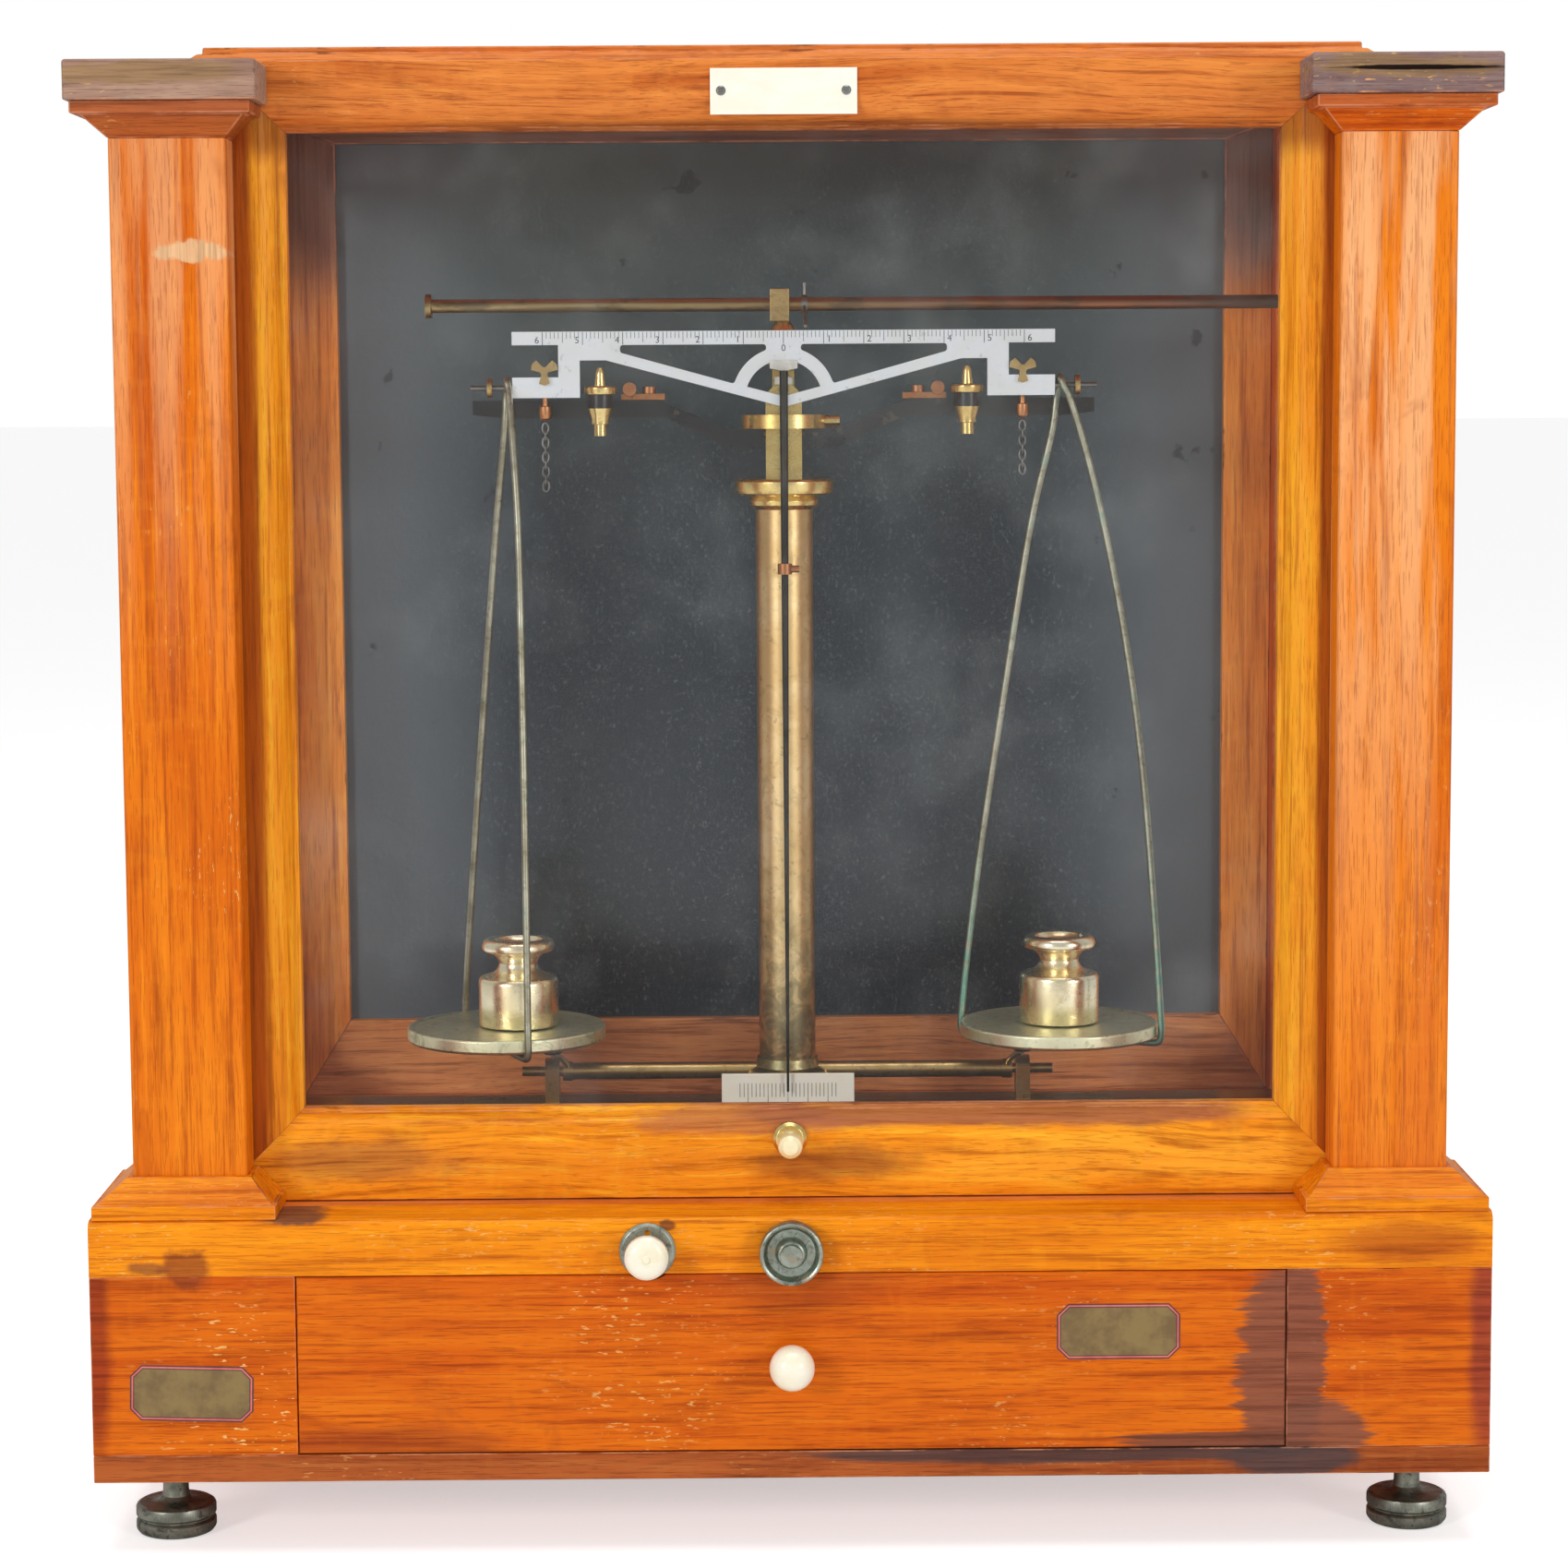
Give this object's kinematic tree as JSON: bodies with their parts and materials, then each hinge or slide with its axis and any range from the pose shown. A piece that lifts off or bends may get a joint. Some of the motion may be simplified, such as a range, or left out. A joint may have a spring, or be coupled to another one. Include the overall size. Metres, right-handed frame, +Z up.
{
  "type": "analytical balance",
  "caption": "Equal-arm analytical balance in a glazed mahogany case with a rising front sash, pans, weights, arrest controls and a drawer.",
  "frame": {"origin": "centre of the overall footprint at the level the feet stand on; the column stands on the Z axis", "axes": "+Z up, +Y to the back of the case, +X to the right of a person facing it"},
  "size_m": [0.42, 0.255, 0.4527],
  "materials": {
    "mahogany": "varnished",
    "weathered_mahogany": "worn varnish",
    "pane_glass": "clear",
    "black_panel": "gloss black lacquer",
    "aged_brass": "tarnished",
    "polished_brass": "polished",
    "green_brass": "verdigris",
    "weight_brass": "lathe turned, lacquered",
    "copper_brass": "coppery",
    "aluminium": "satin",
    "steel": "oxidised",
    "blued_steel": "blued",
    "black_paint": "black japan",
    "ivory": "polished",
    "agate": "polished stone",
    "foot_metal": "dark patina",
    "knob_metal": "green patina"
  },
  "bodies": {
    "case": {"base_front_frame": "mahogany", "base_carcass": "mahogany", "case_floor": "mahogany", "drawer_runners": "mahogany", "foot_bushes": "foot_metal", "rear_feet": "mahogany", "front_pillars": "mahogany", "pillar_foot_mouldings": "mahogany", "capitals": "weathered_mahogany", "roof_board": "mahogany", "rear_posts": "mahogany", "side_frames": "mahogany", "side_glass": "pane_glass", "back_frame": "mahogany", "back_panel": "black_panel", "instrument_board": "mahogany", "column_foot": "aged_brass", "column_tube": "aged_brass", "column_cap": "polished_brass", "beam_post": "polished_brass", "dome_nut": "polished_brass", "rider_rod_bracket": "aged_brass", "index_plate": "ivory", "pan_arrest_brackets": "aged_brass", "spindle_bushes": "knob_metal", "pan_arrest_spring": "steel"},
    "sash": {"sash_frame": "mahogany", "sash_glass": "pane_glass", "sash_knob": "ivory", "name_plate": "ivory"},
    "drawer": {"drawer_front": "mahogany", "drawer_box": "mahogany", "drawer_knob": "ivory"},
    "beam": {"beam_plate": "aluminium", "centre_knife": "agate", "knife_clamps": "aged_brass", "hook_chains": "steel", "end_pins": "steel", "pointer": "blued_steel", "pointer_collar": "copper_brass"},
    "left_balance_nut": {"balance_nut_left": "aged_brass"},
    "right_balance_nut": {"balance_nut_right": "aged_brass"},
    "left_hanger": {"bow_left": "steel", "pan_left": "green_brass"},
    "right_hanger": {"bow_right": "steel", "pan_right": "green_brass"},
    "left_weight": {"weight_left": "weight_brass"},
    "right_weight": {"weight_right": "weight_brass"},
    "arrest_carriage": {"arrest_arms": "black_paint", "arrest_collar": "polished_brass", "arrest_rod": "aged_brass", "arrest_supports": "polished_brass"},
    "arrest_control": {"arrest_knob": "knob_metal"},
    "pan_arrest_control": {"pan_arrest_button": "ivory"},
    "pan_arrest": {"pan_arrest_shaft": "aged_brass", "pan_arrest_pads": "black_paint"},
    "rider_rod": {"rider_rod": "aged_brass"},
    "rider_arm": {"rider_arm": "steel"},
    "left_foot": {"levelling_foot_left": "foot_metal"},
    "right_foot": {"levelling_foot_right": "foot_metal"}
  },
  "joints": [
    {"name": "sash_lift", "type": "slide", "parent": "case", "child": "sash", "axis": [0, 0, 1], "range_m": [0, 0.2]},
    {"name": "drawer_slide", "type": "slide", "parent": "case", "child": "drawer", "axis": [0, -1, 0], "range_m": [0, 0.15]},
    {"name": "beam_tilt", "type": "hinge", "parent": "case", "child": "beam", "pos_m": [0, -0.014, 0.3535], "axis": [0, 1, 0], "range_deg": [-2, 2]},
    {"name": "left_hang", "type": "hinge", "parent": "beam", "child": "left_hanger", "pos_m": [-0.088, -0.014, 0.35], "axis": [0, 1, 0], "range_deg": [-2.1, 2.1]},
    {"name": "right_hang", "type": "hinge", "parent": "beam", "child": "right_hanger", "pos_m": [0.088, -0.014, 0.35], "axis": [0, 1, 0], "range_deg": [-2.1, 2.1]},
    {"name": "left_weight_lift", "type": "slide", "parent": "left_hanger", "child": "left_weight", "axis": [0, 0, 1], "range_m": [0, 0.06]},
    {"name": "right_weight_lift", "type": "slide", "parent": "right_hanger", "child": "right_weight", "axis": [0, 0, 1], "range_m": [0, 0.06]},
    {"name": "left_balance_nut_turn", "type": "hinge", "parent": "beam", "child": "left_balance_nut", "pos_m": [-0.0935, -0.014, 0.35], "axis": [1, 0, 0], "continuous": true},
    {"name": "right_balance_nut_turn", "type": "hinge", "parent": "beam", "child": "right_balance_nut", "pos_m": [0.0935, -0.014, 0.35], "axis": [1, 0, 0], "continuous": true},
    {"name": "arrest_knob_turn", "type": "hinge", "parent": "case", "child": "arrest_control", "pos_m": [0, 0, 0.093], "axis": [0, 1, 0], "range_deg": [0, 180]},
    {"name": "arrest_lower", "type": "slide", "parent": "case", "child": "arrest_carriage", "axis": [0, 0, -1], "range_m": [0, 0.003]},
    {"name": "pan_arrest_press", "type": "slide", "parent": "case", "child": "pan_arrest_control", "axis": [0, 1, 0], "range_m": [0, 0.004], "stiffness_N_per_m": 250, "springref_m": -0.002},
    {"name": "pan_arrest_turn", "type": "hinge", "parent": "case", "child": "pan_arrest", "pos_m": [0, 0, 0.127], "axis": [1, 0, 0], "range_deg": [0, 6.8]},
    {"name": "rider_slide", "type": "slide", "parent": "case", "child": "rider_rod", "axis": [1, 0, 0], "range_m": [0, 0.075]},
    {"name": "rider_turn", "type": "hinge", "parent": "rider_rod", "child": "rider_arm", "pos_m": [0.007, 0.008, 0.3765], "axis": [1, 0, 0], "range_deg": [-70, 0]},
    {"name": "left_foot_turn", "type": "hinge", "parent": "case", "child": "left_foot", "pos_m": [-0.19, -0.0845, 0.01], "axis": [0, 0, 1], "continuous": true},
    {"name": "right_foot_turn", "type": "hinge", "parent": "case", "child": "right_foot", "pos_m": [0.19, -0.0845, 0.01], "axis": [0, 0, 1], "continuous": true}
  ],
  "couplings": [
    {"joint": "left_hang", "follows": "beam_tilt", "ratio": -1},
    {"joint": "right_hang", "follows": "beam_tilt", "ratio": -1},
    {"joint": "arrest_lower", "follows": "arrest_knob_turn", "m_per_rad": 0.000954},
    {"joint": "pan_arrest_turn", "follows": "pan_arrest_press", "rad_per_m": 29.4}
  ]
}
